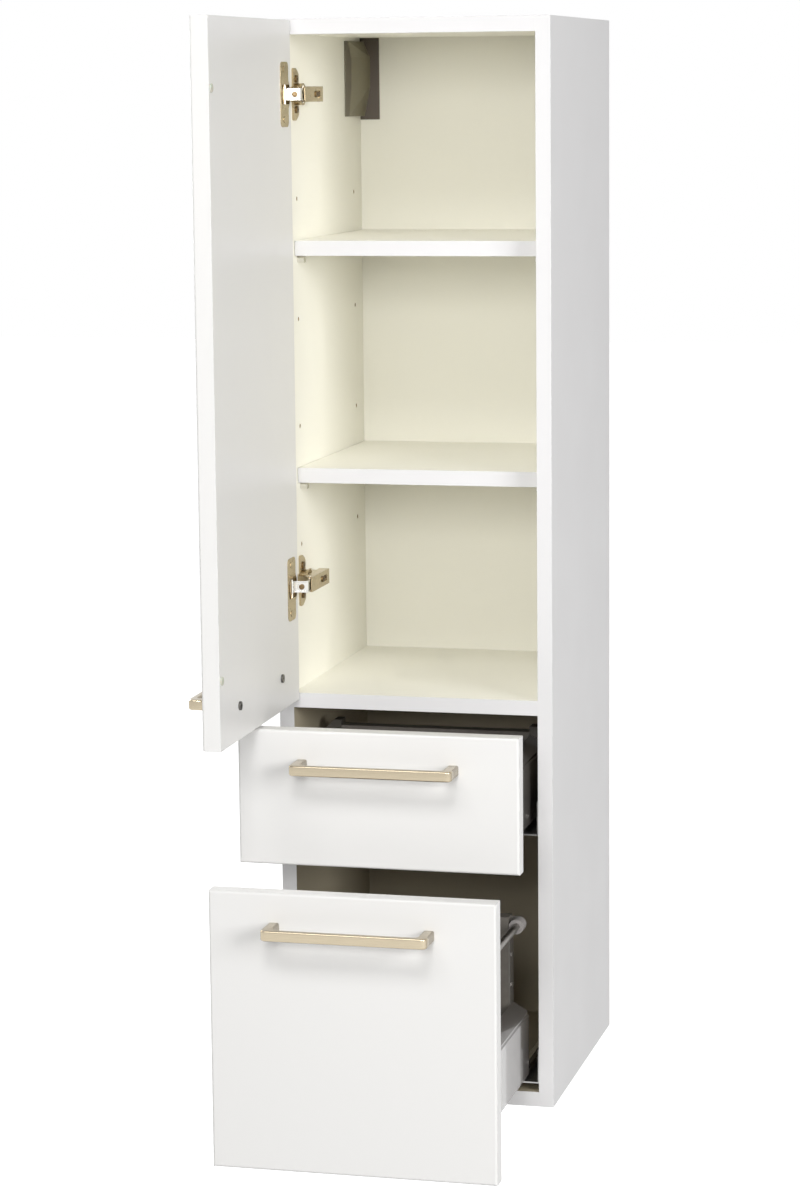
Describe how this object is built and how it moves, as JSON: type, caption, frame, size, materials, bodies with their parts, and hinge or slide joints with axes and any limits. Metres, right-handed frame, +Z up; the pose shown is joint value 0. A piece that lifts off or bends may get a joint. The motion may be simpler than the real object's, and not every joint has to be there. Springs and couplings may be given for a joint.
{
  "type": "wall-hung tall bathroom cabinet",
  "caption": "Tall wall-hung cabinet with a hinged door on concealed hinges over a shallow and a deep pull-out drawer on telescopic runners.",
  "frame": {"origin": "on the wall plane, midway between the two wall hooks, at the height of their seats, 60 mm below the cabinet top", "axes": "+X to the right as seen from the room, +Y from the room into the wall, +Z up"},
  "size_m": [0.3292, 0.6385, 1.16],
  "materials": {
    "white_board": "white satin-gloss lacquer film on particle board, edges banded white",
    "cream_board": "smooth cream-white melamine on particle board and thin fibreboard",
    "nickel": "warm brushed nickel plate on die-cast zinc",
    "hinge_nickel": "warm nickel plate on pressed steel and die-cast zinc",
    "bright_steel": "bright nickel or zinc plated steel",
    "zinc_steel": "grey zinc plated or grey enamelled sheet steel",
    "silver_paint": "glossy silver-grey enamel on roll-formed steel",
    "grey_board": "mid-grey melamine on particle board",
    "grey_plastic": "grey moulded plastic",
    "taupe_plastic": "taupe moulded plastic",
    "beech": "plain fluted beech",
    "clear_rubber": "milky soft polyurethane"
  },
  "bodies": {
    "carcass": {"left_side_panel": "white_board", "right_side_panel": "white_board", "top_panel": "white_board", "bottom_panel": "white_board", "fixed_shelf": "cream_board", "back_panel": "cream_board", "upper_shelf": "cream_board", "lower_shelf": "cream_board", "shelf_pins": "hinge_nickel", "panel_dowels": "beech", "cam_fittings": "zinc_steel", "left_hanger_body": "zinc_steel", "right_hanger_body": "zinc_steel", "wall_hooks": "bright_steel", "left_hanger_cover": "taupe_plastic", "right_hanger_cover": "taupe_plastic", "upper_hinge_plate": "hinge_nickel", "lower_hinge_plate": "hinge_nickel", "upper_hinge_arm": "hinge_nickel", "lower_hinge_arm": "hinge_nickel", "hinge_screws": "bright_steel", "small_cabinet_rail_left": "zinc_steel", "small_cabinet_rail_right": "zinc_steel", "deep_cabinet_rail_left": "zinc_steel", "deep_cabinet_rail_right": "zinc_steel", "rail_screws": "bright_steel", "arm_pivot_pins": "bright_steel"},
    "hinge_links": {"upper_hinge_link": "bright_steel", "lower_hinge_link": "bright_steel"},
    "door": {"door_panel": "white_board", "door_handle": "nickel", "door_handle_screws": "bright_steel", "upper_hinge_cup": "hinge_nickel", "lower_hinge_cup": "hinge_nickel", "cup_pivot_pins": "bright_steel", "door_bumpers": "clear_rubber"},
    "small_drawer": {"small_drawer_front": "white_board", "small_drawer_handle": "nickel", "small_handle_screws": "bright_steel", "small_side_left": "silver_paint", "small_side_right": "silver_paint", "small_drawer_bottom": "grey_board", "small_drawer_back": "grey_board", "small_front_brackets": "zinc_steel", "small_rear_brackets": "zinc_steel", "small_drawer_rails": "zinc_steel"},
    "small_middle_rails": {"small_middle_rails": "bright_steel"},
    "deep_drawer": {"deep_drawer_front": "white_board", "deep_drawer_handle": "nickel", "deep_handle_screws": "bright_steel", "deep_side_left": "silver_paint", "deep_side_right": "silver_paint", "deep_drawer_bottom": "grey_board", "deep_drawer_back": "grey_board", "deep_front_brackets": "zinc_steel", "deep_rear_brackets": "zinc_steel", "deep_drawer_rails": "zinc_steel", "railing_rods": "silver_paint", "railing_sockets": "grey_plastic"},
    "deep_middle_rails": {"deep_middle_rails": "bright_steel"}
  },
  "joints": [
    {"name": "link_swing", "type": "hinge", "parent": "carcass", "child": "hinge_links", "pos_m": [-0.117, -0.321, 0], "axis": [0, 0, 1], "range_deg": [-26.82, 1.5]},
    {"name": "door_swing", "type": "hinge", "parent": "hinge_links", "child": "door", "pos_m": [-0.13031, -0.34454, 0], "axis": [0, 0, 1], "range_deg": [-6.5, 116.22]},
    {"name": "small_drawer_slide", "type": "slide", "parent": "carcass", "child": "small_drawer", "axis": [0, -1, 0], "range_m": [-0.142, 0.111]},
    {"name": "small_rail_slide", "type": "slide", "parent": "carcass", "child": "small_middle_rails", "axis": [0, -1, 0], "range_m": [-0.071, 0.0555]},
    {"name": "deep_drawer_slide", "type": "slide", "parent": "carcass", "child": "deep_drawer", "axis": [0, -1, 0], "range_m": [-0.253, 0]},
    {"name": "deep_rail_slide", "type": "slide", "parent": "carcass", "child": "deep_middle_rails", "axis": [0, -1, 0], "range_m": [-0.1265, 0]}
  ],
  "couplings": [
    {"joint": "link_swing", "follows": "door_swing", "ratio": -0.23077},
    {"joint": "small_rail_slide", "follows": "small_drawer_slide", "ratio": 0.5},
    {"joint": "deep_rail_slide", "follows": "deep_drawer_slide", "ratio": 0.5}
  ]
}
